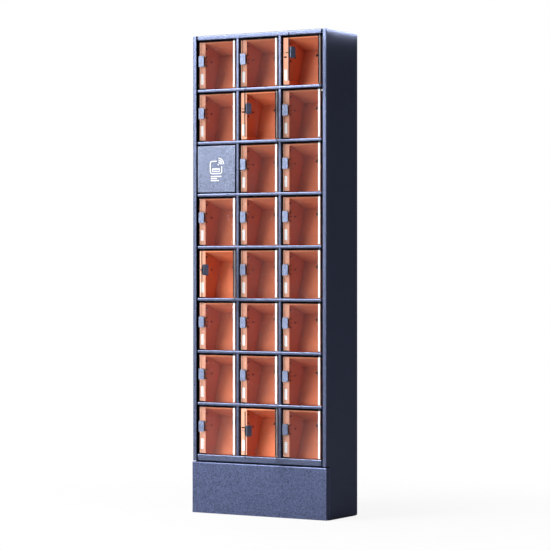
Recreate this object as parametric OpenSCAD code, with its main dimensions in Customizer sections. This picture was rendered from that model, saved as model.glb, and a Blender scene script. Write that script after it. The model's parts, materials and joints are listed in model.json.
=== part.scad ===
// Locker cabinet with eight rows and three columns of charging compartments. Clear doors hang in a
// front grid; a card reader fills one place. It stands on the floor at z = 0, centred on x and y,
// with its front towards -y and its right side, seen from the front, towards +x. Millimetres.
// Name endings: _w width, _h height, _d depth, _t thickness, _r radius, _x _y _z position.

/* [Cabinet] */
// Depth of the cabinet from the front of the rails to the back faces
cabinet_d = 244; // [240:1:290]
// Thickness of the folded cabinet sheet
sheet_t = 1.5; // [1.2:0.1:1.8]
// Width of the front return of each side panel
return_w = 17; // [16:1:22]
// Width of the dark reveal between side panel and door grid
reveal_w = 4.9; // [3.5:0.1:7]
// Outside bend radius of the front corners
bend_r = 4; // [3:0.5:5]
// Height of the plinth cover's top edge above the floor
plinth_h = 200; // [180:1:240]
// Thickness of the plinth cover's sheet
plinth_t = 2; // [1.5:0.5:3]

/* [Door grid] */
// Clear width of one compartment opening
cell_w = 177; // [172:1:195]
// Clear height of one compartment opening
cell_h = 191; // [184:1:210]
// Height of the horizontal rails between rows
rail_h = 12; // [10:0.5:16]
// Depth of the rails and mullions from front to back
rail_d = 24; // [23:0.5:26]
// Width of the upright mullions
mullion_w = 12.6; // [11:0.2:16]
// Height of the header rail at the top
header_h = 18; // [16:1:30]
// Height of the rail under the lowest row
sill_h = 25; // [20:1:35]

/* [Compartment] */
// Downward slope of the compartment's floor and ceiling towards the back, in degrees
liner_tilt = 18; // [14:0.5:19]
// Lean of the compartment's back wall, in degrees
back_lean = 20; // [17:0.5:24]
// Depth of the compartment along its ceiling line
pocket_d = 115; // [108:1:124]
// Width of the flange that covers the lock
flange_w = 27.5; // [26:0.5:29]
// Thickness of the liner sheet
liner_t = 1; // [0.8:0.1:1.2]

/* [Doors] */
// Thickness of the clear door pane
pane_t = 6; // [5:0.5:6]
// Width of the hinge stile
stile_w = 9.4; // [9:0.2:10]
// Width of the catch plate
catch_w = 23.5; // [20:0.5:28]
// Height of the catch plate
catch_h = 42; // [36:0.5:50]
// Opening angle of the door in row 1, column 3, in degrees
open_1_3 = 74; // [60:1:80]
// Opening angle of the door in row 2, column 2, in degrees
open_2_2 = 72.5; // [60:0.5:80]
// Opening angle of the door in row 5, column 1, in degrees
open_5_1 = 71; // [60:0.5:80]
// Opening angle of the door in row 8, column 2, in degrees
open_8_2 = 73; // [60:1:80]

/* [Hidden] */
$fn = 32;

// Rows count from 0 at the top, columns from 0 at the left
ROWS = 8;
COLUMNS = 3;
reader_row = 2;
reader_column = 0;

pitch_x = cell_w + mullion_w;
pitch_z = cell_h + rail_h;
grid_w = COLUMNS * cell_w + (COLUMNS - 1) * mullion_w;
cabinet_w = grid_w + 2 * (reveal_w + return_w);
sill_bottom = plinth_h + 5;
sill_top = sill_bottom + sill_h;
grid_top = sill_top + ROWS * cell_h + (ROWS - 1) * rail_h;
cabinet_h = grid_top + header_h;
front_y = -cabinet_d / 2;
back_y = cabinet_d / 2;
side_x = cabinet_w / 2;
rail_back = front_y + rail_d;

// Left edge of the openings in a column
function cell_x(column) = -grid_w / 2 + column * pitch_x;
// Lower edge of the openings in a row
function cell_z(row) = grid_top - cell_h - row * pitch_z;
// Centre of the upright between a column and the one to its left
function mullion_x(column) = cell_x(column) - mullion_w / 2;
function has_door(row, column) = !(row == reader_row && column == reader_column);
// Every compartment as [row, column], leaving out the reader's place
CELLS = [for (row = [0:ROWS - 1], column = [0:COLUMNS - 1])
  if (has_door(row, column)) [row, column]];

// Depth positions of the doors and of the compartment's front flange
pane_y = front_y + 0.5;
pane_back = pane_y + pane_t;
hinge_y = front_y + 3.8;
flange_y = front_y + 9;
// Door, hinge and strike, measured from the opening's lower left corner
door_x = 6.8;
door_z = 4;
door_h = cell_h - 11;
door_top_gap = cell_h - door_z - door_h;
hinge_x = cell_w - 5.3 - stile_w / 2;
strike_z = cell_h / 2 + 14;
// Hinge pins and their holes
pin_r = 1.5;
pin_hole_r = 1.55;

// ---------- helpers ----------

function unit(v) = v / norm(v);
// Points of an arc in equal steps
function arc(centre, r, start, sweep, steps) =
  [for (i = [0:steps]) let (a = start + sweep * i / steps) centre + r * [cos(a), sin(a)]];
// Arc points that round a corner between its two neighbours
function fillet(before, corner, after, r) = r <= 0 ? [corner] :
  let (to_before = unit(before - corner),
       to_after = unit(after - corner),
       half = acos(to_before * to_after) / 2,
       centre = corner + unit(to_before + to_after) * r / sin(half),
       first = corner + to_before * r / tan(half) - centre,
       last = corner + to_after * r / tan(half) - centre,
       start = atan2(first[1], first[0]),
       sweep = (atan2(last[1], last[0]) - start + 540) % 360 - 180)
  arc(centre, r, start, sweep, 5);
// Outline from corners given as [x, y, radius]
function outline(corners) =
  let (count = len(corners), points = [for (p = corners) [p[0], p[1]]])
  [for (i = [0:count - 1])
    each fillet(points[(i + count - 1) % count], points[i], points[(i + 1) % count],
                corners[i][2])];
// Rectangle with one radius, or four counter-clockwise from the low corner
function rounded_box(low, high, radii) =
  let (r = is_num(radii) ? [radii, radii, radii, radii] : radii)
  outline([[low[0], low[1], r[0]], [high[0], low[1], r[1]],
           [high[0], high[1], r[2]], [low[0], high[1], r[3]]]);

// Outline given as depth and height, run along the width
module along_x(x0, x1) {
  translate([x0, 0, 0]) rotate([90, 0, 90]) linear_extrude(x1 - x0) children();
}
// Outline given as width and height, from y0 back to y1
module along_y(y0, y1) {
  translate([0, y1, 0]) rotate([90, 0, 0]) linear_extrude(y1 - y0) children();
}
// Outline given as width and depth, from z0 up to z1
module along_z(z0, z1) { translate([0, 0, z0]) linear_extrude(z1 - z0) children(); }
module block(low, high) { translate(low) cube(high - low); }
// Cylinders that start at a point and run right, back or up
module rod_x(start, r, h) { translate(start) rotate([0, 90, 0]) cylinder(r = r, h = h); }
module rod_y(start, r, h) { translate(start) rotate([-90, 0, 0]) cylinder(r = r, h = h); }
module rod_z(start, r, h) { translate(start) cylinder(r = r, h = h); }
module at_opening(row, column) { translate([cell_x(column), 0, cell_z(row)]) children(); }
module each_cell() { for (cell = CELLS) at_opening(cell[0], cell[1]) children(); }

// ---------- cabinet shell ----------

// Inner edge of the side panels' front return and rear return
return_x = side_x - return_w;
rear_x = side_x - 12;
// Half widths of the sheets that fit between the sides and between the rear returns
inside_x = side_x - sheet_t - 0.1;
between_x = rear_x - 0.2;
rear_lip = 10.8;

// Folded right side panel seen from above: front return, side, rear return and lip
module side_section() {
  t = sheet_t;
  polygon(outline([
    [return_x, rail_back, 0], [return_x, front_y, 2.5],
    [side_x, front_y, bend_r], [side_x, back_y, 3],
    [rear_x, back_y, 2], [rear_x, back_y - rear_lip, 0],
    [rear_x + t, back_y - rear_lip, 0], [rear_x + t, back_y - t, 0.5],
    [side_x - t, back_y - t, 1.5], [side_x - t, front_y + t, bend_r - t],
    [return_x + t, front_y + t, 1], [return_x + t, rail_back, 0]]));
}
// The rear lip stops below the top panel; the front corner is notched above the plinth cover
module side_panel() {
  difference() {
    along_z(2, cabinet_h) side_section();
    block([return_x - 1, front_y - 1, plinth_h - 0.5],
          [side_x + 1, rail_back + 0.5, plinth_h + 3.5]);
    block([rear_x - 0.05, back_y - 12, cabinet_h - sheet_t - 0.1],
          [rear_x + sheet_t + 0.7, back_y - sheet_t, cabinet_h + 1]);
  }
}
module side_panel_right() { color("slategray") side_panel(); }
module side_panel_left() { color("slategray") mirror([1, 0, 0]) side_panel(); }

// Right half of the top panel, with the tab that closes the side panel's front return
module top_half() {
  t = sheet_t;
  tab_x = return_x + t + 0.1;
  polygon([
    [-1, rail_back + 0.1], [tab_x, rail_back + 0.1],
    [tab_x, front_y + t + 2.6], [tab_x + 2, front_y + t + 0.3],
    [inside_x - 3, front_y + t + 0.3], [inside_x, front_y + t + 3.5],
    [inside_x, back_y - t - 2.5], [inside_x - 2.4, back_y - t - 0.1],
    [between_x, back_y - t - 0.1], [between_x, back_y - t], [-1, back_y - t]]);
}
// Top panel with a folded rear flange and two wall-fixing holes
module top_panel() {
  flange_h = 48;
  color("slategray") difference() {
    union() {
      along_z(cabinet_h - sheet_t, cabinet_h) union() {
        top_half();
        mirror([1, 0, 0]) top_half();
      }
      block([-between_x, back_y - sheet_t, cabinet_h - flange_h],
            [between_x, back_y, cabinet_h]);
    }
    for (x = [-200, 200]) rod_y([x, back_y - 5, cabinet_h - 26], r = 4.5, h = 10);
  }
}

tray_top = 25.5;
feet = [for (x = [-side_x + 38, side_x - 38], y = [front_y + 55, back_y - 38]) [x, y]];
// Base tray: plate with a skirt down to the floor, holes for the feet and for floor fixings
module base_tray() {
  tray_front = rail_back + 0.2;
  tray_back = back_y - 11.4;
  t = sheet_t;
  color("slategray") difference() {
    block([-inside_x, tray_front, 0], [inside_x, tray_back, tray_top]);
    block([-inside_x + t, tray_front + t, -1], [inside_x - t, tray_back - t, 24]);
    for (foot = feet) rod_z([foot[0], foot[1], 20], r = 5.2, h = 10);
    for (x = [-215, 215], y = [-65, 85]) rod_z([x, y, 20], r = 5, h = 10);
  }
}

// Levelling feet: disc, stud and lock nut
module levelling_feet() {
  color("dimgray") for (foot = feet) translate([foot[0], foot[1], 0]) {
    cylinder(r = 18, h = 7);
    cylinder(r = 5, h = 45);
    translate([0, 0, tray_top]) cylinder(r = 9.2, h = 8, $fn = 6);
  }
}

// Outside form of the plinth cover, rounded at both front corners and along the top edge
module plinth_form() {
  bottom = 2;
  cover_x = side_x + plinth_t;
  cover_y = front_y - plinth_t;
  intersection() {
    along_z(bottom, plinth_h)
      polygon(rounded_box([-cover_x, cover_y], [cover_x, rail_back], [bend_r, bend_r, 0, 0]));
    along_x(-side_x - 10, side_x + 10)
      polygon(rounded_box([cover_y, bottom], [rail_back, plinth_h], [0, 0, 0, bend_r]));
  }
}
// Plinth cover: front, top fold and side returns; the fold lies between the side panels' returns
module plinth_cover() {
  fold_x = return_x - 0.2;
  color("slategray") difference() {
    plinth_form();
    difference() {
      block([-side_x, front_y, 0], [side_x, rail_back + 1, plinth_h + 1]);
      block([-fold_x, front_y, plinth_h - 1.5], [fold_x, rail_back - 1, plinth_h + 2]);
    }
  }
}

inlet_x = -205;
inlet_z = 90;
rear_sill_top = 150;
// Rear sill below the service door, with the cut-out for the power inlet
module rear_sill() {
  t = sheet_t;
  color("slategray") difference() {
    union() {
      block([-between_x, back_y - t, 2], [between_x, back_y, rear_sill_top]);
      block([-between_x, back_y - 12, rear_sill_top - t],
            [between_x, back_y - t, rear_sill_top]);
    }
    block([inlet_x - 20.2, back_y - 5, inlet_z - 24.2],
          [inlet_x + 20.2, back_y + 5, inlet_z + 24.2]);
  }
}

// ---------- door grid ----------

// Wall of the rails and mullions
grid_t = 1.5;

// Solid form of a rail, with rounded front edges and rounded ends
module rail_form(z0, z1) {
  half_w = grid_w / 2;
  intersection() {
    along_x(-half_w, half_w)
      polygon(rounded_box([front_y, z0], [rail_back, z1], [3.5, 0, 0, 3.5]));
    along_z(z0 - 1, z1 + 1)
      polygon(rounded_box([-half_w, front_y], [half_w, rail_back], [3, 3, 0, 0]));
  }
}
// Hollow rail, bored for the hinge pins between two heights
module rail(z0, z1, bore_z0, bore_z1) {
  difference() {
    rail_form(z0, z1);
    block([-grid_w / 2 + 4, front_y + 3.6, z0 + grid_t],
          [grid_w / 2 - 4, rail_back - grid_t, z1 - grid_t]);
    for (column = [0:COLUMNS - 1])
      rod_z([cell_x(column) + hinge_x, hinge_y, bore_z0], r = pin_hole_r, h = bore_z1 - bore_z0);
  }
}
module header_rail() {
  color("slategray") rail(grid_top, cabinet_h, grid_top - 1, grid_top + 9);
}
module bottom_rail() {
  color("slategray") rail(sill_bottom, sill_top, sill_top - 9, sill_top + 1);
}
module shelf_rails() {
  color("slategray") for (row = [0:ROWS - 2]) {
    top = cell_z(row);
    bottom = top - rail_h;
    rail(bottom, top, bottom - 1, top + 1);
  }
}

// Upright mullions, broken at every rail: channel sections open at the back
module mullions() {
  inner_y = front_y + grid_t;
  far_x = mullion_w - grid_t;
  color("slategray") for (row = [0:ROWS - 1], column = [1:COLUMNS - 1])
    translate([cell_x(column) - mullion_w, 0, 0])
      along_z(cell_z(row), cell_z(row) + cell_h) polygon(outline([
        [0, front_y, 3], [mullion_w, front_y, 3],
        [mullion_w, rail_back, 0], [far_x, rail_back, 0],
        [far_x, inner_y, 1.5], [grid_t, inner_y, 1.5],
        [grid_t, rail_back, 0], [0, rail_back, 0]]));
}

// Short blocks that join each rail to the side panels across the reveal
module grid_brackets() {
  color("slategray") for (side = [-1, 1], i = [0:ROWS]) {
    z = i == 0 ? grid_top + header_h / 2
      : i == ROWS ? sill_top - sill_h / 2
      : cell_z(i - 1) - rail_h / 2;
    x = side > 0 ? grid_w / 2 : -grid_w / 2 - reveal_w;
    block([x, rail_back - 6, z - 4], [x + reveal_w, rail_back - 1, z + 4]);
  }
}

// Upright partitions behind the mullions
module partition_plates() {
  color("slategray") for (column = [1:COLUMNS - 1]) translate([mullion_x(column), 0, 0])
    block([-0.6, rail_back + 0.3, 26], [0.6, 60, cabinet_h - 2]);
}

// ---------- compartments ----------

channel_x = 3;
liner_left = channel_x + flange_w;
liner_right = cell_w - 6;
// Liner in the upright plane: depth from the flange plane, height from the opening's lower edge
slope = tan(liner_tilt);
lean = tan(back_lean);
ceiling_z = cell_h - 12.5;
lip_top = cell_h - 4.5;
floor_z = 1.1;
// Depth of the floor's flat part over the rail
floor_flat = rail_back - flange_y + 0.4;
ceiling_back = [pocket_d, ceiling_z - pocket_d * slope];
// The back wall's line meets the sloping floor here
floor_back_z = (floor_z - slope * (ceiling_back[0] - ceiling_back[1] * lean - floor_flat))
  / (1 + slope * lean);
floor_back = [ceiling_back[0] - (ceiling_back[1] - floor_back_z) * lean, floor_back_z];
// Point a distance further back down the liner's slope, raised by an offset
function further(point, distance, raise = 0) =
  [point[0] + distance, point[1] - distance * slope + raise];

// Liner outline, given as depth and height, run between two sides of the compartment
module liner_sheet(x0, x1, points) {
  translate([0, flange_y, 0]) along_x(x0, x1) polygon(points);
}

// Front flange and side leg that carry the electric lock, with the slot for the strike
module lock_channels() {
  leg_d = 70;
  inner_y = flange_y + liner_t;
  color("sandybrown") each_cell() difference() {
    union() {
      block([channel_x, flange_y, 0.2], [liner_left, inner_y, lip_top]);
      block([channel_x, inner_y, 0.2], [channel_x + liner_t, flange_y + leg_d, lip_top]);
      block([channel_x, flange_y + leg_d - 1, 0.2],
            [liner_left, flange_y + leg_d, cell_h - 50]);
    }
    block([8.5, flange_y - 1, strike_z - 3], [20, inner_y + 1, strike_z + 3]);
    // clearance above the rail
    block([channel_x - 1, inner_y + 0.05, -1], [liner_left + 1, rail_back + 0.4, 0.6]);
  }
}

module liner_wall(x) {
  liner_sheet(x, x + liner_t,
    [[0, floor_z], [floor_flat, floor_z], floor_back, ceiling_back, [0, ceiling_z]]);
}
// Left wall of each compartment, with the slot beside the strike
module liner_left_walls() {
  color("sienna") each_cell() difference() {
    liner_wall(liner_left);
    block([liner_left - 1, flange_y + 3, strike_z - 2],
          [liner_left + 2, flange_y + 19, strike_z + 2]);
  }
}
module liner_right_walls() { color("sienna") each_cell() liner_wall(liner_right - liner_t); }

// How far floor and ceiling run past the back wall's face, and the play beside the walls
overrun = 1.3;
liner_gap = 0.05;

// Ceiling with its turned-up front lip
module liner_ceilings() {
  t = liner_t;
  underside = ceiling_z + liner_gap;
  color("sandybrown") each_cell() liner_sheet(liner_left, liner_right, [
    [0, underside], [t, underside - t * slope + 0.32],
    further(ceiling_back, overrun, liner_gap), further(ceiling_back, overrun, t + liner_gap),
    [t, underside + t], [t, lip_top], [0, lip_top]]);
}
// Floor: flat over the rail, then sloping down to the back wall
module liner_floors() {
  t = liner_t;
  top = floor_z - liner_gap;
  color("sienna") each_cell() liner_sheet(liner_left, liner_right, [
    [0, top], [floor_flat, top],
    further(floor_back, overrun, -liner_gap), further(floor_back, overrun, -liner_gap - t),
    [floor_flat + 0.1, top - t], [0, top - t]]);
}

// Charging port: distance down the back wall, place on the wall's front face, and size
port_drop = 22.5;
port_x = (liner_left + liner_right) / 2;
port_y = flange_y + ceiling_back[0] - port_drop * sin(back_lean);
port_z = ceiling_back[1] - port_drop * cos(back_lean);
port_w = 26;
port_d = 14;
module at_port() { translate([port_x, port_y, port_z]) rotate([-back_lean, 0, 0]) children(); }

// Leaning back wall with the opening for the charging port
module liner_back_walls() {
  wall_t = liner_t + 0.2;
  hole_x = port_w / 2 - 0.8;
  color("sienna") each_cell() difference() {
    liner_sheet(liner_left, liner_right, [
      ceiling_back + [0.02, 0], further(ceiling_back, wall_t),
      further(floor_back, wall_t), floor_back + [0.02, 0]]);
    at_port() block([-hole_x, -3, -3.2], [hole_x, 6, 3.2]);
  }
}
// Charging outlet: bezel, body and socket opening
module charging_ports() {
  bezel_x = port_w / 2;
  color("black") each_cell() at_port() difference() {
    union() {
      block([-bezel_x, -1.4, -4], [bezel_x, -0.05, 4]);
      block([-bezel_x + 1, -0.1, -3], [bezel_x - 1, port_d, 3]);
    }
    block([-6.4, -3, -2.3], [6.4, 9, 2.3]);
  }
}
// Blank number plate on each flange
module label_plates() {
  color("white") each_cell() along_y(flange_y - 1, flange_y)
    translate([16.5, cell_h / 2 - 54.8]) polygon(rounded_box([-6.5, -21], [6.5, 21], 3.5));
}

// ---------- locks ----------

bolt_x = 14.5;
bolt_y = pane_back + 14;
// Electric lock body with the strike pocket and the bolt's bore
module lock_bodies() {
  color("dimgray") each_cell() difference() {
    block([channel_x + liner_t + 0.2, flange_y + liner_t + 0.2, strike_z - 22],
          [liner_left - 0.2, flange_y + 52, strike_z + 23]);
    block([8, flange_y, strike_z - 3.2], [20.5, pane_back + 24, strike_z + 3.2]);
    rod_z([bolt_x, bolt_y, strike_z - 8], r = 1.56, h = 30.5);
  }
}
// Lock bolts, drawn back: each drops through the hole in its strike
module lock_bolts() {
  color("silver") each_cell() rod_z([bolt_x, bolt_y, strike_z + 3.4], r = 1.5, h = 17);
}
// Screws on the left wall: depth from the flange plane, height from mid-opening
screw_places = [[6.5, 64.5], [6.5, 31], [6.5, -2.5], [42, 14.8]];
// Screws that hold each lock to the left wall
module lock_screws() {
  color("black") each_cell() for (place = screw_places)
    rod_x([liner_left + liner_t, flange_y + place[0], cell_h / 2 + place[1]], r = 2.4, h = 1.1);
}

// ---------- doors ----------

// Hinge pins through the rails: each serves the door above and the door below.
// A collar on the rail carries the door above; it is low under the reader's place.
module hinge_pins() {
  color("silver") for (i = [0:ROWS], column = [0:COLUMNS - 1]) {
    above = i > 0 && has_door(i - 1, column);
    below = i < ROWS && has_door(i, column);
    rail_top = i == 0 ? grid_top : cell_z(i - 1);
    rail_bottom = i == 0 ? grid_top : rail_top - rail_h;
    z0 = below ? rail_bottom - door_top_gap - 8
      : i == ROWS ? rail_top - 8
      : rail_bottom - 2;
    z1 = above ? rail_top + door_z + 11
      : i == 0 ? grid_top + 8
      : rail_top + 2;
    translate([cell_x(column) + hinge_x, hinge_y, 0]) {
      rod_z([0, 0, z0], r = pin_r, h = z1 - z0);
      if (i > 0) rod_z([0, 0, rail_top], r = 2.6, h = above ? door_z - 0.1 : 1.2);
    }
  }
}

// Door parts are drawn closed, in the opening's frame, with a small gap that keeps them separate
stile_x = hinge_x - stile_w / 2;
part_gap = 0.04;

// Clear pane with softened free corners
module door_pane() {
  color("lightcyan", 0.4) along_y(pane_y, pane_back) translate([0, door_z])
    polygon(rounded_box([door_x, 0], [stile_x - part_gap, door_h], [2.5, 0, 0, 2.5]));
}
// Hinge stile, butted to the pane's edge and bored for the pins
module door_stile() {
  half_d = 3.5;
  color("white") translate([0, 0, door_z]) difference() {
    linear_extrude(door_h) polygon(rounded_box(
      [stile_x, hinge_y - half_d], [stile_x + stile_w, hinge_y + half_d], [1, 2, 3, 1]));
    for (z = [-1, door_h - 12]) rod_z([hinge_x, hinge_y, z], r = pin_hole_r, h = 13);
  }
}
// Catch plate on the outer face
module door_catch() {
  catch_x = door_x + 2.2;
  color("slategray") along_y(pane_y - 6, pane_y - part_gap) translate([0, strike_z])
    polygon(rounded_box(
      [catch_x, -catch_h / 2], [catch_x + catch_w, catch_h / 2], [2, 5.5, 5.5, 2]));
}
// Strike on the inner face: base plate and a tongue with the bolt's hole
module door_strike() {
  strike_y = pane_back + part_gap;
  color("silver") difference() {
    union() {
      block([door_x + 2.5, strike_y, strike_z - 17],
            [door_x + 21, pane_back + 1.5, strike_z + 17]);
      block([bolt_x - 3.5, strike_y, strike_z - 2],
            [bolt_x + 3.5, pane_back + 20, strike_z + 2]);
    }
    rod_z([bolt_x, bolt_y, strike_z - 5], r = 2.2, h = 10);
  }
}
// Door in its opening, swung outwards about its hinge by an angle
module door(row, column, angle = 0) {
  at_opening(row, column) translate([hinge_x, hinge_y, 0]) rotate([0, 0, angle])
    translate([-hinge_x, -hinge_y, 0]) {
      door_pane();
      door_stile();
      door_catch();
      door_strike();
    }
}

// ---------- reader and electronics ----------

module at_reader() { at_opening(reader_row, reader_column) children(); }
// Centre of the printed symbol and of the reader behind it
module at_icon() { at_reader() translate([85.2, 0, 101.2]) children(); }

// Cover over the reader's place in the grid: folded tray, open at the back
module control_cover() {
  left = 0.5;
  right = cell_w - 4.7;
  bottom = 4.3;
  top = cell_h - 6.5;
  front = front_y + 0.5;
  cover_t = 1.5;
  rim = cover_t + 0.6;
  color("lightslategray") at_reader() difference() {
    intersection() {
      along_y(front, front_y + 14.5) polygon(rounded_box([left, bottom], [right, top], 2));
      along_z(0, cell_h)
        polygon(rounded_box([left, front], [right, front_y + 16], [2, 2, 0, 0]));
      along_x(-1, cell_w)
        polygon(rounded_box([front, bottom], [front_y + 16, top], [2, 0, 0, 2]));
    }
    block([left + rim, front + cover_t, bottom + rim], [right - rim, front_y + 20, top - rim]);
  }
}

// Printed symbol: rounded square, radio waves and three plain bars
module reader_icon() {
  line_w = 3.2;
  half = [28, 25.7];
  inner = half - [line_w, line_w];
  wave_radii = [7.5, 15, 22.6];
  bar_lengths = [48.5, 27, 37];
  color("white") at_icon() along_y(front_y + 0.2, front_y + 0.5) {
    // rounded square, left open at its top right corner
    difference() {
      polygon(rounded_box(-half, half, 11));
      polygon(rounded_box(-inner, inner, 8));
      translate([3, 4.2]) square(40);
    }
    // radio waves about the open corner
    translate([11, 11]) {
      for (r = wave_radii)
        polygon(concat(arc([0, 0], r + line_w, 2, 86, 12), arc([0, 0], r, 88, -86, 12)));
      circle(r = 2.4);
    }
    // plain card symbol inside the square
    translate([0, -10.5]) difference() {
      polygon(rounded_box([-17.5, -6.8], [17.5, 6.8], 2.4));
      polygon(rounded_box([-15.5, -4.8], [15.5, 4.8], 1));
    }
    translate([0, -9]) square([27, 2.6], center = true);
    // three plain bars below the square
    for (i = [0:2]) translate([-half[0] + 4.3, -37 - 7.9 * i]) square([bar_lengths[i], 4]);
  }
}
// Card reader behind the cover
module rfid_reader() {
  color("dimgray") at_icon() {
    along_y(front_y + 2.2, front_y + 12) polygon(rounded_box([-50, -40], [50, 40], 5));
    block([-20, front_y + 12, -30], [20, front_y + 18, -10]);
  }
}
// Lock controller board on its stand-offs, fixed to the plate behind the reader
module control_board() {
  board_y = front_y + 40;
  board_back = board_y + 1.6;
  standoff = 20;
  color("darkgreen") at_reader() {
    block([14, board_y, 20], [164, board_back, 170]);
    // an upper and a lower row of parts, and one in the middle
    for (i = [0:5]) translate([24 + i * 23, 0, 0]) {
      block([0, board_y - 10, 130], [16, board_y, 160]);
      block([0, board_y - 8, 30], [18, board_y, 42]);
    }
    block([70, board_y - 3, 70], [100, board_y, 100]);
    for (x = [22, 156], z = [24, 166]) rod_y([x, board_back, z], r = 3, h = standoff);
    block([6, board_back + standoff, 10], [170, board_back + standoff + 1.4, 180]);
  }
}
// Power supply on the base tray, with a recess in its left side
module power_supply() {
  color("silver") difference() {
    block([-86, -30, tray_top], [86, 85, tray_top + 40]);
    block([-87, -20, 40], [-74, 75, 70]);
  }
}
// Charging boards, one per row, on two upright strips
module charging_boards() {
  board_y = 86;
  board_back = board_y + 1.6;
  strips_x = [-45, 45];
  color("darkgreen") {
    for (x = strips_x) block([x - 10, 96, 26], [x + 10, 97.5, cabinet_h - 2]);
    for (row = [0:ROWS - 1]) translate([0, 0, cell_z(row) + 95]) {
      block([-60, board_y, -30], [60, board_back, 30]);
      for (i = [-1:1]) block([i * 34 - 7, board_y - 10, 6], [i * 34 + 7, board_y, 14]);
      block([-20, board_y - 6, -22], [20, board_y, -8]);
      for (x = strips_x, z = [-24, 24]) rod_y([x, board_back, z], r = 3, h = 8.4);
    }
  }
}

duct_x = abs(mullion_x(1));
duct_half_w = 12.5;
// Lead from one compartment's charging port to its duct; the left column uses the left duct
module charging_lead(row, column) {
  lead_w = 4;
  lead_y = 68;
  side = column == 2 ? -1 : 1;
  start_x = cell_x(column) + port_x;
  start_y = port_y + port_d * cos(back_lean) + 1;
  end_x = (column == 0 ? -1 : 1) * duct_x - side * (duct_half_w + 0.1);
  near_x = start_x + side * lead_w / 2;
  far_x = start_x - side * lead_w / 2;
  translate([0, 0, cell_z(row) + port_z - port_d * sin(back_lean) - lead_w / 2])
    linear_extrude(lead_w) polygon(outline([
      [far_x, start_y, 0], [near_x, start_y, 0],
      [near_x, lead_y, 4], [end_x, lead_y, 0],
      [end_x, lead_y + lead_w, 0], [far_x, lead_y + lead_w, 8]]));
}
// Two cable ducts and the leads that run to them
module wiring_looms() {
  duct_t = 2;
  inner_x = duct_half_w - duct_t;
  color("black") {
    for (side = [-1, 1]) translate([side * duct_x, 0, 0]) along_z(215, cabinet_h - 60)
      difference() {
        polygon(rounded_box([-duct_half_w, 62], [duct_half_w, 92], 0));
        polygon(rounded_box([-inner_x, 62 + duct_t], [inner_x, 92 - duct_t], 0));
      }
    for (cell = CELLS) charging_lead(cell[0], cell[1]);
  }
}

// ---------- back ----------

// Service door's lower and upper edge and half width
service_z0 = 153;
service_z1 = cabinet_h - 51;
service_x = side_x - 14.5;
pivot_x = side_x - 20.5;
pivot_y = back_y - 5;
lock_x = -service_x + 24;
lock_z = (service_z0 + service_z1) / 2;

// Service door: folded sheet with ventilation slots, hinge bushes and the lock's hole
module rear_door() {
  t = sheet_t;
  edge_y = back_y - 10;
  inner_x = service_x - t;
  color("slategray") difference() {
    union() {
      along_z(service_z0, service_z1) polygon(outline([
        [-service_x, edge_y, 0], [-inner_x, edge_y, 0],
        [-inner_x, back_y - t, 0.8], [inner_x, back_y - t, 0.8],
        [inner_x, edge_y, 0], [service_x, edge_y, 0],
        [service_x, back_y, 2.2], [-service_x, back_y, 2.2]]));
      for (z = [service_z0 + 0.5, service_z1 - 25.5])
        block([pivot_x - 5, back_y - 9.5, z], [inner_x, back_y - t, z + 25]);
    }
    for (z = [service_z0 - 1, service_z1 - 28]) rod_z([pivot_x, pivot_y, z], r = 2.05, h = 30);
    for (x = [-150, 0, 150], z = [service_z0 + 90, service_z1 - 190], i = [0:7])
      block([x - 32, back_y - 4, z + i * 14], [x + 32, back_y + 2, z + i * 14 + 5]);
    rod_y([lock_x, back_y - 5, lock_z], r = 9.55, h = 10);
  }
}
// Brackets that carry the service door's pivot pins
module rear_hinge_brackets() {
  left = pivot_x - 8;
  right = side_x - 12.8;
  upper_z = service_z1 + 0.5;
  color("gray") {
    block([left, back_y - 10, rear_sill_top], [right, back_y - 1.6, rear_sill_top + 2.6]);
    rod_z([pivot_x, pivot_y, rear_sill_top + 2], r = 2, h = 16);
    block([left, back_y - 10, upper_z], [right, back_y - 1.5, upper_z + 2.5]);
    block([left, back_y - 4, upper_z], [right, back_y - 1.5, upper_z + 23.5]);
    rod_z([pivot_x, pivot_y, service_z1 - 15], r = 2, h = 16);
  }
}
// Cam lock: head, barrel and cam, turned to its open position
module rear_lock() {
  color("silver") translate([lock_x, 0, lock_z]) difference() {
    union() {
      rod_y([0, back_y + 0.05, 0], r = 12, h = 2);
      rod_y([0, back_y - 11, 0], r = 9.5, h = 11.5);
      along_y(back_y - 13.5, back_y - 11)
        polygon(rounded_box([-8, -9], [8, 30], [4, 4, 7, 7]));
    }
    block([-1, back_y - 2, -4], [1, back_y + 3, 4]);
  }
}

switch_y = back_y - 5;
switch_z = inlet_z + 11;
// Socket contacts, as x and z from the socket's centre
contacts = [[-7, -3], [0, 1.5], [7, -3]];
// Power inlet with its socket recess and the well for the switch
module power_inlet() {
  socket_z = inlet_z - 13;
  color("black") difference() {
    union() {
      along_y(back_y + 0.05, back_y + 2.5) polygon(rounded_box(
        [inlet_x - 24, inlet_z - 28], [inlet_x + 24, inlet_z + 28], 3));
      block([inlet_x - 20, back_y - 32, inlet_z - 24], [inlet_x + 20, back_y + 0.1, inlet_z + 24]);
    }
    difference() {
      block([inlet_x - 12, back_y - 18, socket_z - 8], [inlet_x + 12, back_y + 3, socket_z + 8]);
      for (contact = contacts) translate([inlet_x + contact[0], 0, socket_z + contact[1]])
        block([-1, back_y - 19, -2.5], [1, back_y - 3, 2.5]);
    }
    block([inlet_x - 10.3, back_y - 14, switch_z - 10.2],
          [inlet_x + 10.3, back_y + 3, switch_z + 10.2]);
    rod_x([inlet_x - 13, switch_y, switch_z], r = 1.55, h = 26);
  }
}
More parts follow.
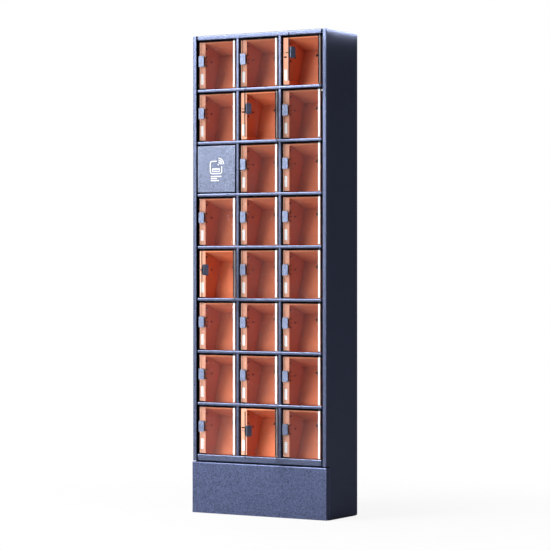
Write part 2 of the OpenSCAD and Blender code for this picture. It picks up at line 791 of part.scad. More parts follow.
// Rocker of the power switch, resting in its on position
module power_switch() {
  color("black") translate([inlet_x, switch_y, switch_z]) rotate([8, 0, 0]) {
    along_x(-10, 10) polygon(outline([
      [-6, -4, 1], [5.5, -9, 1], [7.6, -0.6, 0], [7.6, 0.6, 0], [5.5, 9, 1], [-6, 4, 1]]));
    rod_x([-12.5, 0, 0], r = 1.5, h = 25);
  }
}

side_panel_left();
side_panel_right();
top_panel();
base_tray();
header_rail();
bottom_rail();
shelf_rails();
mullions();
grid_brackets();
partition_plates();
lock_channels();
liner_left_walls();
liner_right_walls();
liner_ceilings();
liner_floors();
liner_back_walls();
charging_ports();
label_plates();
lock_bodies();
lock_bolts();
lock_screws();
hinge_pins();
control_cover();
reader_icon();
rfid_reader();
control_board();
plinth_cover();
levelling_feet();
rear_sill();
rear_door();
rear_hinge_brackets();
rear_lock();
power_inlet();
power_switch();
power_supply();
charging_boards();
wiring_looms();
door(0, 0);  // door_r1c1
door(0, 1);  // door_r1c2
door(0, 2, open_1_3);  // door_r1c3
door(1, 0);  // door_r2c1
door(1, 1, open_2_2);  // door_r2c2
door(1, 2);  // door_r2c3
door(2, 1);  // door_r3c2
door(2, 2);  // door_r3c3
door(3, 0);  // door_r4c1
door(3, 1);  // door_r4c2
door(3, 2);  // door_r4c3
door(4, 0, open_5_1);  // door_r5c1
door(4, 1);  // door_r5c2
door(4, 2);  // door_r5c3
door(5, 0);  // door_r6c1
door(5, 1);  // door_r6c2
door(5, 2);  // door_r6c3
door(6, 0);  // door_r7c1
door(6, 1);  // door_r7c2
door(6, 2);  // door_r7c3
door(7, 0);  // door_r8c1
door(7, 1, open_8_2);  // door_r8c2
door(7, 2);  // door_r8c3
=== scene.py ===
import json
import math
import bmesh
import bpy
from mathutils import Matrix, Vector

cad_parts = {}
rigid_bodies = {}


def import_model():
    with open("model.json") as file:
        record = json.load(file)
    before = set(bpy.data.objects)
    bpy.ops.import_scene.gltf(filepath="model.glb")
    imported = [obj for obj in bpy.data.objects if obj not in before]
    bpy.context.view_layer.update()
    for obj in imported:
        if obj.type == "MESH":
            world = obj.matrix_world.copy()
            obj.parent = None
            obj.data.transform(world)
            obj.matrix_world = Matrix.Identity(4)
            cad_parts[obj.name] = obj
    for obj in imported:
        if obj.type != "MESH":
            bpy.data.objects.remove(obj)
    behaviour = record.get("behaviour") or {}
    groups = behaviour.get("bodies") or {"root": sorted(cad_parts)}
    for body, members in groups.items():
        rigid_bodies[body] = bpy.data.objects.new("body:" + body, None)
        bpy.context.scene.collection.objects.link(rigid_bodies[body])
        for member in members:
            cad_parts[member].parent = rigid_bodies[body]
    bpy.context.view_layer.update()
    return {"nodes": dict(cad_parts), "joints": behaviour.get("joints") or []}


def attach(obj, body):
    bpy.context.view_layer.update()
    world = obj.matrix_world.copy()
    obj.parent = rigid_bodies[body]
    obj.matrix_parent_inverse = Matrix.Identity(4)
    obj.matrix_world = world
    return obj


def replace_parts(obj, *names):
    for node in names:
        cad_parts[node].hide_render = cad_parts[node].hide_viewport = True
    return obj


for o in list(bpy.data.objects):
    bpy.data.objects.remove(o)
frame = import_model()
NODES = frame["nodes"]
JOINTS = {j["name"]: j for j in frame["joints"]}
MM = 0.001


# ---------------------------------------------------------------- materials

class Tree:
    """A small helper for building shader nodes."""

    def __init__(self, name):
        self.mat = bpy.data.materials.new(name)
        self.mat.use_nodes = True
        self.nt = self.mat.node_tree
        self.nt.nodes.clear()
        self.out = self.nt.nodes.new("ShaderNodeOutputMaterial")
        self.obj = self.node("ShaderNodeTexCoord").outputs["Object"]

    def node(self, kind, inputs=None, **props):
        n = self.nt.nodes.new(kind)
        for k, v in props.items():
            setattr(n, k, v)
        for k, v in (inputs or {}).items():
            self.put(n.inputs[k], v)
        return n

    def put(self, socket, v):
        if isinstance(v, bpy.types.NodeSocket):
            self.nt.links.new(v, socket)
        else:
            socket.default_value = v

    def noise(self, scale, detail=2.0, rough=0.5, vec=None, distortion=0.0):
        n = self.node("ShaderNodeTexNoise", {"Scale": scale, "Detail": detail, "Roughness": rough, "Distortion": distortion})
        self.put(n.inputs["Vector"], vec or self.obj)
        return n.outputs["Fac"]

    def voronoi(self, scale, vec=None, feature="F1"):
        n = self.node("ShaderNodeTexVoronoi", {"Scale": scale}, feature=feature)
        self.put(n.inputs["Vector"], vec or self.obj)
        return n.outputs["Distance"]

    def stretch(self, x, y, z):
        return self.node("ShaderNodeMapping", {"Vector": self.obj, "Scale": (x, y, z)}).outputs["Vector"]

    def remap(self, v, a, b, lo, hi):
        return self.node("ShaderNodeMapRange", {"Value": v, "From Min": a, "From Max": b, "To Min": lo, "To Max": hi}).outputs["Result"]

    def math(self, op, a, b=0.0):
        n = self.node("ShaderNodeMath", operation=op)
        self.put(n.inputs[0], a)
        self.put(n.inputs[1], b)
        return n.outputs[0]

    def mix(self, f, a, b, blend="MIX"):
        n = self.node("ShaderNodeMix", data_type="RGBA", blend_type=blend)
        self.put(n.inputs[0], f)
        self.put(n.inputs[6], a if isinstance(a, bpy.types.NodeSocket) else (*a, 1))
        self.put(n.inputs[7], b if isinstance(b, bpy.types.NodeSocket) else (*b, 1))
        return n.outputs[2]

    def bump(self, height, strength, distance, normal=None):
        n = self.node("ShaderNodeBump", {"Height": height, "Strength": strength, "Distance": distance})
        if normal:
            self.put(n.inputs["Normal"], normal)
        return n.outputs["Normal"]

    def principled(self, **inputs):
        n = self.node("ShaderNodeBsdfPrincipled")
        for k, v in inputs.items():
            self.put(n.inputs[k.replace("_", " ")], v if not (isinstance(v, tuple) and len(v) == 3) else (*v, 1))
        self.nt.links.new(n.outputs[0], self.out.inputs["Surface"])
        return n


def srgb(r, g, b):
    return tuple((c / 255 / 12.92) if c / 255 <= 0.04045 else ((c / 255 + 0.055) / 1.055) ** 2.4 for c in (r, g, b))


def powder_coat(name, base, grain=1.0, flake=0.70, painted_reveal_shade=False, painted_edge_highlight=()):
    """Fine-textured powder coat: pebbled bump, light speckle, slow tone drift and faint vertical handling marks;
    optionally painted highlight lines along given sheet edges and painted black shade inside the reveal beside the door
    grid.
    """
    t = Tree(name)
    pebble = t.noise(1250, 2.0, 0.6)
    speck = t.math("ADD", t.math("MULTIPLY", t.noise(310, 2.0, 0.55), 0.8), t.math("MULTIPLY", t.noise(700, 2.0, 0.6), 0.2))
    drift = t.noise(2.2, 3.0, 0.5)
    wipe = t.noise(1.0, 3.0, 0.6, t.stretch(26, 26, 3))
    lo = tuple(c * (1 - 0.52 * grain) for c in base)
    hi = tuple(min(1, c * (1 + 0.60 * grain)) for c in base)
    col = t.mix(t.remap(speck, 0.36, 0.64, 0, 1), lo, hi)
    col = t.mix(t.remap(drift, 0.3, 0.7, 0.0, 0.10), col, tuple(c * 0.8 for c in base))
    rough = t.math("ADD", t.remap(speck, 0.3, 0.7, 0.36, 0.46), t.remap(wipe, 0.35, 0.7, -0.01, 0.02))
    n = t.bump(pebble, 0.55, 0.00035)
    n = t.bump(speck, 0.30, 0.0009, n)
    for axis, at, width in painted_edge_highlight:
        # painted highlight: a lighter line along the sheet's edge, standing in for the light its rounded edge catches
        sep = t.node("ShaderNodeSeparateXYZ", {"Vector": t.obj})
        near = t.math("LESS_THAN", t.math("ABSOLUTE", t.math("SUBTRACT", sep.outputs[axis], at)), width)
        col = t.mix(t.math("MULTIPLY", near, 0.8), col, tuple(min(1, c * 2.6 + 0.10) for c in base))
    if painted_reveal_shade:
        # painted shade: the faces inside the reveal beside the door grid are painted black, for the shadow in that gap
        sep = t.node("ShaderNodeSeparateXYZ", {"Vector": t.obj})
        ax = t.math("ABSOLUTE", sep.outputs[0])
        inside = t.math("MULTIPLY", t.math("LESS_THAN", ax, 0.2834), t.math("LESS_THAN", sep.outputs[1], -0.09))
        col = t.mix(inside, col, (0.004, 0.004, 0.005))
        rough = t.math("ADD", rough, t.math("MULTIPLY", inside, 0.4))
    t.principled(Base_Color=col, Roughness=rough, Normal=n, Metallic=flake, Specular_IOR_Level=0.5)
    return t.mat


def copper_coat(name, base, flange_left_shade=False):
    """Satin copper-coloured coat: slight orange peel, soft tone drift, fine rubbed streaks, and painted shade: black
    bands along each cell's top and bottom front edges and, when asked, along each flange's left edge beside the
    mullion, for the shadow in these gaps.
    """
    t = Tree(name)
    peel = t.noise(420, 2.0, 0.5)
    fine = t.noise(1800, 1.0, 0.5)
    drift = t.noise(9, 3.0, 0.55)
    rub = t.noise(1.0, 4.0, 0.6, t.stretch(160, 160, 9))
    col = t.mix(t.remap(drift, 0.3, 0.7, 0, 1), tuple(c * 0.93 for c in base), tuple(min(1, c * 1.05) for c in base))
    col = t.mix(t.remap(rub, 0.5, 0.75, 0.0, 0.10), col, tuple(min(1, c * 1.12 + 0.03) for c in base))
    rough = t.math("ADD", t.remap(peel, 0.3, 0.7, 0.33, 0.43), t.remap(rub, 0.4, 0.7, -0.03, 0.05))
    n = t.bump(peel, 0.25, 0.0006)
    n = t.bump(fine, 0.15, 0.0002, n)
    sep = t.node("ShaderNodeSeparateXYZ", {"Vector": t.obj})
    # painted shade: black bands at the top and bottom front edges of each cell, where the gaps by the rails lie in
    # shadow
    up = t.math("MULTIPLY", t.math("FRACT", t.math("DIVIDE", t.math("SUBTRACT", sep.outputs[2], 0.027), 0.203)), 0.203)
    ends = t.math("MAXIMUM", t.math("GREATER_THAN", up, 0.1832), t.math("LESS_THAN", up, 0.0042))
    gap_shade = t.math("MULTIPLY", ends, t.math("LESS_THAN", sep.outputs[1], -0.1122))
    if flange_left_shade:
        # painted shadow of the mullion along the left edge of each flange
        across = t.math("MULTIPLY", t.math("FRACT", t.math("DIVIDE", t.math("ADD", sep.outputs[0], 0.2781), 0.1896)), 0.1896)
        gap_shade = t.math("MAXIMUM", gap_shade, t.math("LESS_THAN", across, 0.0052))
    col = t.mix(gap_shade, col, (0.004, 0.004, 0.005))
    rough = t.math("ADD", rough, t.math("MULTIPLY", gap_shade, 0.4))
    t.principled(Base_Color=col, Roughness=rough, Metallic=t.math("SUBTRACT", 0.06, t.math("MULTIPLY", gap_shade, 0.06)), Normal=n, Specular_IOR_Level=0.16)
    return t.mat


def moulded(name, base, rough=0.42, scale=900, vary=0.12, strength=0.25):
    """Moulded plastic with a fine spark-eroded grain."""
    t = Tree(name)
    g = t.noise(scale, 2.0, 0.6)
    d = t.noise(14, 3.0, 0.5)
    col = t.mix(t.remap(d, 0.3, 0.7, 0, 1), tuple(c * (1 - vary) for c in base), tuple(min(1, c * (1 + vary)) for c in base))
    r = t.remap(g, 0.3, 0.7, rough - 0.06, rough + 0.06)
    t.principled(Base_Color=col, Roughness=r, Normal=t.bump(g, strength, 0.0003))
    return t.mat


def plated(name, base, rough=0.28, axis=(900, 900, 40)):
    """Zinc-plated steel with drawn grain and a faint mottled passivation."""
    t = Tree(name)
    grain = t.noise(1.0, 3.0, 0.6, t.stretch(*axis))
    mot = t.noise(160, 3.0, 0.6)
    col = t.mix(t.remap(mot, 0.35, 0.7, 0, 1), tuple(c * 0.86 for c in base), (base[0], base[1] * 0.99, base[2] * 0.94))
    r = t.math("ADD", t.remap(grain, 0.3, 0.7, rough - 0.08, rough + 0.10), t.remap(mot, 0.4, 0.7, 0.0, 0.06))
    t.principled(Base_Color=col, Roughness=r, Metallic=1.0, Normal=t.bump(grain, 0.18, 0.0002))
    return t.mat


def circuit(name):
    """Solder mask with thin copper tracks under it and pale pads."""
    t = Tree(name)
    brick = t.node("ShaderNodeTexBrick", {"Vector": t.stretch(60, 60, 60), "Scale": 3.0, "Mortar Size": 0.035, "Mortar Smooth": 0.1})
    tracks = brick.outputs["Fac"]
    pads = t.remap(t.voronoi(330), 0.0, 0.16, 1, 0)
    col = t.mix(tracks, (0.010, 0.115, 0.045), (0.030, 0.230, 0.090))
    col = t.mix(t.math("MULTIPLY", t.math("GREATER_THAN", pads, 0.5), 0.8), col, (0.55, 0.55, 0.52))
    t.principled(Base_Color=col, Roughness=0.32, Normal=t.bump(tracks, 0.4, 0.0002))
    return t.mat


def acrylic(name):
    """Clear acrylic sheet: what is behind shows through, with a surface reflection, a light haze and fine wipe marks."""
    t = Tree(name)
    wipe = t.noise(1.0, 4.0, 0.65, t.stretch(240, 240, 18))
    smear = t.noise(7.0, 3.0, 0.6)
    haze = t.math("ADD", t.remap(wipe, 0.45, 0.8, 0.004, 0.012), t.remap(smear, 0.4, 0.75, 0.0, 0.006))
    clear = t.node("ShaderNodeBsdfTransparent", {"Color": (0.915, 0.915, 0.92, 1)})
    veil = t.node("ShaderNodeBsdfDiffuse", {"Color": (0.72, 0.74, 0.78, 1)})
    shine = t.node("ShaderNodeBsdfGlossy", {"Color": (1, 1, 1, 1), "Roughness": t.remap(wipe, 0.4, 0.8, 0.03, 0.12)})
    body = t.node("ShaderNodeMixShader", {0: haze, 1: clear.outputs[0], 2: veil.outputs[0]})
    fres = t.node("ShaderNodeFresnel", {"IOR": 1.49})
    outer = t.math("SUBTRACT", 1.0, t.node("ShaderNodeNewGeometry").outputs["Backfacing"])
    face = t.node("ShaderNodeMixShader", {0: t.math("MULTIPLY", fres.outputs[0], outer), 1: body.outputs[0], 2: shine.outputs[0]})
    t.nt.links.new(face.outputs[0], t.out.inputs["Surface"])
    return t.mat


def cut_edge(name, base):
    """The rim of the sheet, painted near black as painted shade for how its polished edge reads when seen at an angle:
    satin, with fine marks along the cut.
    """
    t = Tree(name)
    saw = t.noise(1.0, 2.0, 0.6, t.stretch(900, 900, 1500))
    col = t.mix(t.remap(saw, 0.4, 0.7, 0, 1), base, tuple(c * 2.5 for c in base))
    t.principled(Base_Color=col, Roughness=t.remap(saw, 0.3, 0.7, 0.42, 0.6), Specular_IOR_Level=0.12, Normal=t.bump(saw, 0.2, 0.0002))
    return t.mat


def reach(node, axis, pick):
    return pick(v.co[axis] for v in NODES[node].data.vertices)


M = {
    "blue": powder_coat("blue_powder_coat", (0.105, 0.126, 0.217), 1.0, 0.88),
    # this side coat also carries the painted black shade inside the reveal
    "case_blue": powder_coat("cabinet_side_coat", (0.104, 0.125, 0.220), 1.0, 0.88, True),
    # painted highlight lines on the plinth cover's return edge and on the reader panel's left and top edges
    "plinth": powder_coat("plinth_coat", (0.102, 0.125, 0.240), 1.0, 0.88, False, [(1, reach("plinth_cover", 1, max), 0.0016)]),
    # the header takes the same blue painted a little darker: painted shade that tones down the sheen on its rounded top
    # edge
    "header": powder_coat("header_shaded_coat", (0.097, 0.116, 0.200), 1.0, 0.88),
    "panel": powder_coat("reader_panel_coat", (0.138, 0.162, 0.250), 1.1, 0.88, False,
                         [(0, reach("control_cover", 0, min), 0.0013), (2, reach("control_cover", 2, max), 0.0011)]),
    "catch": powder_coat("catch_plate_coat", (0.090, 0.109, 0.176), 0.95, 0.85),
    "inner": powder_coat("inner_sheet_and_gap_shade_coat", (0.006, 0.007, 0.010), 0.5, 0.0),
    "copper": copper_coat("copper_coat", (0.73, 0.240, 0.118)),
    # the flange takes the same copper painted paler: a painted sheen for its front faces catching the light
    "flange": copper_coat("copper_flange_painted_sheen_coat", (0.78, 0.38, 0.26), True),
    "white": moulded("white_profile", (0.61, 0.615, 0.62), 0.38, 900, 0.02, 0.12),
    "print": moulded("white_print", (0.90, 0.90, 0.90), 0.5, 1400, 0.03, 0.15),
    "label": moulded("white_plate", (0.92, 0.92, 0.92), 0.35, 1100, 0.02, 0.10),
    "black": moulded("black_plastic", (0.012, 0.012, 0.015), 0.40),
    "case": moulded("lock_case_plastic", (0.035, 0.036, 0.042), 0.45),
    "rubber_and_painted_shade": moulded("foot_rubber", (0.02, 0.02, 0.02), 0.7, 600, 0.2, 0.5),
    "steel": plated("zinc_plated_steel", (0.66, 0.67, 0.68)),
    "chrome": plated("lock_chrome", (0.78, 0.78, 0.79), 0.16),
    "alu": plated("aluminium_case", (0.74, 0.75, 0.77), 0.36, (60, 900, 900)),
    "oxide": moulded("black_oxide_steel", (0.004, 0.004, 0.005), 0.45, 1200, 0.2, 0.2),
    "board": circuit("circuit_board"),
    "clear": acrylic("clear_acrylic"),
    # the pane's rim is painted near black: painted shade for the dark look of its polished edge at an angle
    "clear_edge": cut_edge("acrylic_cut_edge", (0.002, 0.003, 0.006)),
}


# ---------------------------------------------------------------- carried-over nodes

def finish_node(name, mat, bevel=0.25, segs=2):
    """Gives a CAD node its material, welds its split edges in a modifier, breaks its hard edges and evens its shading."""
    o = NODES[name]
    o.data.materials.clear()
    o.data.materials.append(M[mat])
    a = o.data.attributes.get("custom_normal")
    if a:
        o.data.attributes.remove(a)
    for att in ("sharp_edge", "sharp_face"):
        a = o.data.attributes.get(att)
        if a:
            o.data.attributes.remove(a)
    for p in o.data.polygons:
        p.use_smooth = True
    w = o.modifiers.new("weld", "WELD")
    w.merge_threshold = 2e-6
    if bevel:
        d = o.modifiers.new("flatten", "DECIMATE")
        d.decimate_type = "DISSOLVE"
        d.angle_limit = math.radians(0.5)
        b = o.modifiers.new("edges", "BEVEL")
        b.width = bevel * MM
        b.segments = segs
        b.limit_method = "ANGLE"
        b.angle_limit = math.radians(40)
        b.use_clamp_overlap = True
        b.miter_outer = "MITER_ARC" if False else "MITER_SHARP"
    n = o.modifiers.new("normals", "WEIGHTED_NORMAL")
    n.mode = "FACE_AREA"
    n.weight = 50
    n.keep_sharp = True
    if not bevel:
        o.data.set_sharp_from_angle(angle=math.radians(30))
    return o


for n, m, b in [
    ("side_panel_left", "case_blue", 0.3), ("side_panel_right", "case_blue", 0.3), ("top_panel", "blue", 0.25), ("base_tray", "inner", 0.3),
    ("header_rail", "header", 0.6), ("bottom_rail", "blue", 0.6), ("shelf_rails", "blue", 0.6), ("mullions", "blue", 0.4),
    ("grid_brackets", "inner", 0.3), ("partition_plates", "inner", 0.2),
    ("lock_channels", "flange", 0.22), ("liner_left_walls", "copper", 0.2), ("liner_right_walls", "copper", 0.2),
    ("liner_ceilings", "copper", 0.2), ("liner_floors", "copper", 0.2), ("liner_back_walls", "copper", 0.2),
    ("charging_ports", "black", 0.3), ("label_plates", "label", 0.25), ("lock_bodies", "case", 0.4), ("lock_bolts", "steel", 0.3),
    ("lock_screws", "oxide", 0.3), ("hinge_pins", "steel", 0.2), ("control_cover", "panel", 0.5), ("reader_icon", "print", 0.0),
    ("rfid_reader", "case", 0.8), ("control_board", "board", 0.2), ("plinth_cover", "plinth", 0.4), ("levelling_feet", "rubber_and_painted_shade", 0.5),
    ("rear_sill", "blue", 0.3), ("rear_door", "blue", 0.3), ("rear_hinge_brackets", "steel", 0.3), ("rear_lock", "chrome", 0.4),
    ("power_inlet", "black", 0.4), ("power_switch", "black", 0.4), ("power_supply", "alu", 0.5), ("charging_boards", "board", 0.2),
    ("wiring_looms", "black", 0.4),
]:
    finish_node(n, m, b)


# painted shade: the outside and the front edge of each right wall take the near-black inner coat, for the shadow in the
# gap beside the stile
edge = NODES["liner_right_walls"]
edge.data.materials.append(M["inner"])
for p in edge.data.polygons:
    if p.normal.y < -0.9 or p.normal.x > 0.9:
        p.material_index = 1


# ---------------------------------------------------------------- doors

def islands(node):
    """The separate solids of a CAD node, as welded bmeshes."""
    bm = bmesh.new()
    bm.from_mesh(NODES[node].data)
    bmesh.ops.remove_doubles(bm, verts=bm.verts, dist=2e-6)
    bm.verts.ensure_lookup_table()
    seen, found = set(), []
    for v in bm.verts:
        if v.index in seen:
            continue
        stack, comp = [v], []
        seen.add(v.index)
        while stack:
            w = stack.pop()
            comp.append(w)
            for e in w.link_edges:
                x = e.other_vert(w)
                if x.index not in seen:
                    seen.add(x.index)
                    stack.append(x)
        new = bmesh.new()
        remap = {w: new.verts.new(w.co) for w in comp}
        for f in {f for w in comp for f in w.link_faces}:
            new.faces.new([remap[w] for w in f.verts])
        found.append(new)
    bm.free()
    return found


def refine(bm, width, segs, dissolve=0.6):
    """Merges flat faces, rounds the hard edges and recalculates the face normals."""
    bmesh.ops.dissolve_limit(bm, angle_limit=math.radians(dissolve), verts=bm.verts, edges=bm.edges)
    edges = [e for e in bm.edges if e.is_manifold and e.calc_face_angle(0) > math.radians(40)]
    if width:
        bmesh.ops.bevel(bm, geom=edges, offset=width * MM, segments=segs, profile=0.5, affect="EDGES", clamp_overlap=True)
    bmesh.ops.recalc_face_normals(bm, faces=bm.faces)
    return bm


def to_object(bm, name, mats, body, smooth_angle=35):
    me = bpy.data.meshes.new(name)
    bm.to_mesh(me)
    bm.free()
    for p in me.polygons:
        p.use_smooth = True
    me.set_sharp_from_angle(angle=math.radians(smooth_angle))
    for m in mats:
        me.materials.append(M[m])
    o = bpy.data.objects.new(name, me)
    bpy.context.scene.collection.objects.link(o)
    w = o.modifiers.new("normals", "WEIGHTED_NORMAL")
    w.mode = "FACE_AREA"
    w.keep_sharp = True
    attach(o, body)
    return o


def extent(bm):
    xs = [v.co for v in bm.verts]
    lo = Vector((min(c[i] for c in xs) for i in range(3)))
    hi = Vector((max(c[i] for c in xs) for i in range(3)))
    return lo, hi


def turned_cap(name, centre, axis, radius, height, mat, body, tall=False):
    """A small button-head screw: domed head with a round socket recess, axis pointing out of the head."""
    bm = bmesh.new()
    rings = [(radius, 0.0), (radius, height * 0.35), (radius * 0.93, height * 0.68), (radius * 0.72, height * 0.93), (radius * 0.5, height)]
    if tall:
        rings = [(radius, 0.0), (radius, height * 0.84), (radius * 0.95, height * 0.93), (radius * 0.85, height * 0.985), (radius * 0.76, height)]
    loops = []
    seg = 20
    for r, z in rings:
        loops.append([bm.verts.new((r * math.cos(2 * math.pi * i / seg), r * math.sin(2 * math.pi * i / seg), z)) for i in range(seg)])
    inner = radius * 0.45
    hexa = [bm.verts.new((inner * math.cos(2 * math.pi * i / seg), inner * math.sin(2 * math.pi * i / seg), height)) for i in range(seg)]
    deep = [bm.verts.new((inner * 0.92 * math.cos(2 * math.pi * i / seg), inner * 0.92 * math.sin(2 * math.pi * i / seg), height * 0.35)) for i in range(seg)]
    loops += [hexa, deep]
    for a, b in zip(loops, loops[1:]):
        for i in range(seg):
            bm.faces.new((a[i], a[(i + 1) % seg], b[(i + 1) % seg], b[i]))
    bm.faces.new(list(reversed(loops[0])))
    bm.faces.new(deep)
    bmesh.ops.recalc_face_normals(bm, faces=bm.faces)
    q = Vector((0, 0, 1)).rotation_difference(Vector(axis).normalized()).to_matrix().to_4x4()
    bm.transform(Matrix.Translation(Vector(centre)) @ q)
    return bm


def merged(bms):
    out = bmesh.new()
    for b in bms:
        me = bpy.data.meshes.new("tmp")
        b.to_mesh(me)
        b.free()
        out.from_mesh(me)
        bpy.data.meshes.remove(me)
    return out


door_names = sorted(n for n in NODES if n.startswith("door_r"))
for d in door_names:
    j = JOINTS[d + "_hinge"]
    pivot = Vector(j["pos_m"])
    turn = Matrix.Rotation(math.radians(-j["range_deg"][0]), 4, "Z")
    shut = turn.inverted() @ Matrix.Translation(-pivot)
    place = Matrix.Translation(pivot) @ turn
    found = []
    for bm in islands(d):
        bm.transform(shut)
        lo, hi = extent(bm)
        found.append((lo, hi, bm))
    # The pane is the widest solid, the stile the tallest of the rest, the catch plate lies in front, the strike behind.
    found.sort(key=lambda k: -(k[1].x - k[0].x))
    pane = found.pop(0)
    found.sort(key=lambda k: -(k[1].z - k[0].z))
    stile = found.pop(0)
    found.sort(key=lambda k: k[0].y)
    catch, strike = found[0], found[1]

    bm = refine(pane[2], 0.3, 2)
    for f in bm.faces:
        f.material_index = 0 if abs(f.normal.y) > 0.92 else 1
    bm.transform(place)
    o = to_object(bm, d + "_pane", ["clear", "clear_edge"], d)
    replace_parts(o, d)

    bm = refine(stile[2], 0.35, 2)
    # painted shade: the stile's right-facing side takes the black rubber material, for the dark gap beside the mullion
    for f in bm.faces:
        f.material_index = 1 if f.normal.x > 0.9 else 0
    bm.transform(place)
    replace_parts(to_object(bm, d + "_hinge_stile", ["white", "rubber_and_painted_shade"], d), d)

    bm = refine(catch[2], 1.1, 4)
    bm.transform(place)
    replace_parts(to_object(bm, d + "_catch_plate", ["catch"], d), d)

    lo, hi = strike[0], strike[1]
    base_y = lo.y + 1.5 * MM
    bm = refine(strike[2], 0.3, 2)
    cx = (lo.x + hi.x) / 2
    heads = [turned_cap("s", (cx + 1.0 * MM, base_y, (lo.z + hi.z) / 2 + s * 12 * MM), (0, 1, 0), 2.6 * MM, 0.72 * MM, "steel", d) for s in (-1, 1)]
    bm = merged([bm] + heads)
    bm.transform(place)
    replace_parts(to_object(bm, d + "_strike", ["steel"], d), d)


# ---------------------------------------------------------------- lock screws

# Cylindrical black heads on thin washers, one per screw.
screws = []
for bm in islands("lock_screws"):
    lo, hi = extent(bm)
    bm.free()
    mid = (lo + hi) / 2
    washer = bmesh.new()
    rings = [(3.8, 0.0), (3.8, 0.32), (3.66, 0.45), (1.6, 0.45)]
    loops = [[washer.verts.new((lo.x + z * MM, mid.y + r * MM * math.cos(2 * math.pi * i / 24), mid.z + r * MM * math.sin(2 * math.pi * i / 24)))
              for i in range(24)] for r, z in rings]
    for a, b in zip(loops, loops[1:]):
        for i in range(24):
            washer.faces.new((a[i], a[(i + 1) % 24], b[(i + 1) % 24], b[i]))
    washer.faces.new(list(reversed(loops[0])))
    washer.faces.new(loops[-1])
    bmesh.ops.recalc_face_normals(washer, faces=washer.faces)
    screws.append(washer)
    screws.append(turned_cap("s", (lo.x + 0.40 * MM, mid.y, mid.z), (1, 0, 0), 2.75 * MM, 3.0 * MM, "oxide", None, tall=True))
bm = merged(screws)
me = bpy.data.meshes.new("lock_screw_heads")
bm.to_mesh(me)
bm.free()
for p in me.polygons:
    p.use_smooth = True
me.set_sharp_from_angle(angle=math.radians(35))
me.materials.append(M["oxide"])
heads = bpy.data.objects.new("lock_screw_heads", me)
bpy.context.scene.collection.objects.link(heads)
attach(heads, "cabinet")
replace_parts(heads, "lock_screws")


# ---------------------------------------------------------------- stage, light and camera

def stage_floor():
    bm = bmesh.new()
    n, rings = 96, [0.0, 0.4, 0.8, 1.4, 2.2, 3.2, 4.5, 6.0]
    prev = None
    c = bm.verts.new((0, 0, 0))
    for r in rings[1:]:
        ring = [bm.verts.new((r * math.cos(2 * math.pi * i / n), r * math.sin(2 * math.pi * i / n), 0)) for i in range(n)]
        for i in range(n):
            if prev is None:
                bm.faces.new((c, ring[i], ring[(i + 1) % n]))
            else:
                bm.faces.new((prev[i], ring[i], ring[(i + 1) % n], prev[(i + 1) % n]))
        prev = ring
    me = bpy.data.meshes.new("studio_floor")
    bm.to_mesh(me)
    bm.free()
    o = bpy.data.objects.new("studio_floor", me)
    bpy.context.scene.collection.objects.link(o)
    t = Tree("studio_floor")
    dist = t.node("ShaderNodeVectorMath", operation="LENGTH")
    t.put(dist.inputs[0], t.obj)
    fade = t.remap(dist.outputs["Value"], 0.5, 1.7, 0, 1)
    seen = t.node("ShaderNodeLightPath").outputs["Is Camera Ray"]
    d = t.node("ShaderNodeBsdfDiffuse", {"Color": t.mix(seen, (0.34, 0.34, 0.34), (0.86, 0.86, 0.86))})
    e = t.node("ShaderNodeEmission", {"Color": (1, 1, 1, 1), "Strength": 1.0})
    clear = t.node("ShaderNodeBsdfTransparent")
    cam = t.node("ShaderNodeLightPath").outputs["Is Camera Ray"]
    lit = t.node("ShaderNodeMixShader", {0: t.math("MULTIPLY", cam, 0.90), 1: d.outputs[0], 2: e.outputs[0]})
    m = t.node("ShaderNodeMixShader", {0: t.math("MULTIPLY", fade, cam), 1: lit.outputs[0], 2: clear.outputs[0]})
    t.nt.links.new(m.outputs[0], t.out.inputs["Surface"])
    me.materials.append(t.mat)


def area(name, pos, aim, sx, sy, power, color=(1, 1, 1), spread=180, glossy=True, diffuse=True):
    li = bpy.data.lights.new(name, "AREA")
    li.shape = "RECTANGLE"
    li.size, li.size_y = sx, sy
    li.energy = power
    li.color = color
    li.spread = math.radians(spread)
    o = bpy.data.objects.new(name, li)
    bpy.context.scene.collection.objects.link(o)
    o.location = pos
    o.rotation_euler = (Vector(aim) - Vector(pos)).to_track_quat("-Z", "Y").to_euler()
    o.visible_camera = False
    o.visible_glossy = glossy
    o.visible_diffuse = diffuse
    return o


stage_floor()
def only_on(lamp, names):
    """Limits a lamp to the named objects."""
    c = bpy.data.collections.new(lamp.name + "_receivers")
    for n in names:
        if n in bpy.data.objects:
            c.objects.link(bpy.data.objects[n])
    lamp.light_linking.receiver_collection = c


coated = ["side_panel_left", "side_panel_right", "top_panel", "header_rail", "bottom_rail", "shelf_rails", "mullions", "control_cover",
          "plinth_cover", "rear_sill", "rear_door"] + [d + "_catch_plate" for d in door_names]
only_on(area("key_sheen", (-3.2, -5.0, 4.9), (0.0, 0.0, 1.0), 2.4, 2.4, 1230, (1.0, 0.99, 0.92), diffuse=False), coated)
area("key_soft", (-3.0, -4.6, 3.6), (0.0, 0.0, 1.0), 3.0, 2.4, 350, glossy=False)
area("low_front", (-0.9, -1.9, 0.30), (0.0, 0.0, 0.27), 2.0, 0.5, 35, glossy=False)
area("low_left", (-2.6, -2.2, 0.5), (0.0, 0.0, 0.4), 1.6, 0.9, 34, glossy=False)
only_on(area("stile_accent", (4.0, -0.8, 1.3), (0.1, -0.2, 1.2), 0.7, 1.6, 75), [d + "_hinge_stile" for d in door_names])
only_on(area("catch_accent", (4.0, 0.6, 1.3), (0.1, -0.2, 1.2), 0.7, 1.6, 18), [d + "_catch_plate" for d in door_names])
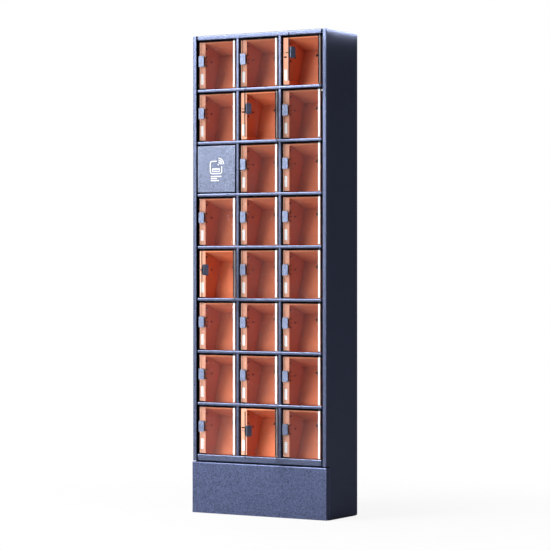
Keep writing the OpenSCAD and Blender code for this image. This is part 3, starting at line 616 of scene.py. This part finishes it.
only_on(area("catch_sheen", (-3.0, -4.8, 0.7), (0.0, 0.0, 0.8), 1.6, 1.6, 135, (1.0, 0.99, 0.94), diffuse=False), [d + "_catch_plate" for d in door_names])
only_on(area("pane_window", (2.76, 2.15, 1.12), (0.1, -0.2, 1.12), 1.75, 2.2, 7), [d + "_pane" for d in door_names])
sides = ["side_panel_left", "side_panel_right", "plinth_cover", "top_panel"]
only_on(area("side_wash", (2.6, 4.2, 1.0), (0.3, 0.0, 1.0), 2.0, 2.4, 1.6, (0.92, 0.96, 1.15)), sides)
only_on(area("side_rim", (0.321, 0.03, 1.866), (0.300, 0.03, 1.853), 0.36, 0.010, 0.17), sides)
only_on(area("side_front", (5.5, 0.2, 2.2), (0.3, 0.0, 1.0), 2.4, 2.4, 34), sides)
rear = ["rear_door", "rear_sill", "rear_lock", "rear_hinge_brackets", "side_panel_left", "top_panel", "power_inlet", "power_switch", "plinth_cover"]
only_on(area("rear_fill", (-1.6, 5.6, 3.0), (0.0, 0.1, 0.9), 3.0, 3.0, 620), rear)

world = bpy.data.worlds.new("studio")
bpy.context.scene.world = world
world.use_nodes = True
wn = world.node_tree
wn.nodes.clear()
wo = wn.nodes.new("ShaderNodeOutputWorld")
bright = wn.nodes.new("ShaderNodeBackground")
bright.inputs[0].default_value = (1, 1, 1, 1)
bright.inputs[1].default_value = 1.0
soft = wn.nodes.new("ShaderNodeBackground")
coord = wn.nodes.new("ShaderNodeTexCoord")
sep = wn.nodes.new("ShaderNodeSeparateXYZ")
wn.links.new(coord.outputs["Generated"], sep.inputs[0])
# the room is lighter above and to the front left, and dark to the right
rise = wn.nodes.new("ShaderNodeMapRange")
for k, v in (("From Min", -0.1), ("From Max", 0.6), ("To Min", 0.09), ("To Max", 0.75)):
    rise.inputs[k].default_value = v
wn.links.new(sep.outputs[2], rise.inputs["Value"])
sideways = wn.nodes.new("ShaderNodeMapRange")
for k, v in (("From Min", -0.45), ("From Max", 0.35), ("To Min", 1.0), ("To Max", 0.10)):
    sideways.inputs[k].default_value = v
wn.links.new(sep.outputs[0], sideways.inputs["Value"])
mul = wn.nodes.new("ShaderNodeMath")
mul.operation = "MULTIPLY"
wn.links.new(rise.outputs[0], mul.inputs[0])
wn.links.new(sideways.outputs[0], mul.inputs[1])
wn.links.new(mul.outputs[0], soft.inputs[1])
soft.inputs[0].default_value = (1.0, 1.0, 1.0, 1)
lp = wn.nodes.new("ShaderNodeLightPath")
mx = wn.nodes.new("ShaderNodeMixShader")
wn.links.new(lp.outputs["Is Camera Ray"], mx.inputs[0])
wn.links.new(soft.outputs[0], mx.inputs[1])
wn.links.new(bright.outputs[0], mx.inputs[2])
wn.links.new(mx.outputs[0], wo.inputs[0])

cam = bpy.data.cameras.new("camera")
cam.sensor_width = 36
cam.lens = 36 * 2268.4 / 550
cam.clip_end = 60
co = bpy.data.objects.new("camera", cam)
bpy.context.scene.collection.objects.link(co)
co.location = (4.5253, -7.5654, 0.9424)
co.rotation_euler = (math.radians(90 - 0.09), 0, math.radians(30.879))
bpy.context.scene.camera = co
bpy.context.scene.view_settings.view_transform = "Standard"
bpy.context.scene.view_settings.look = "None"
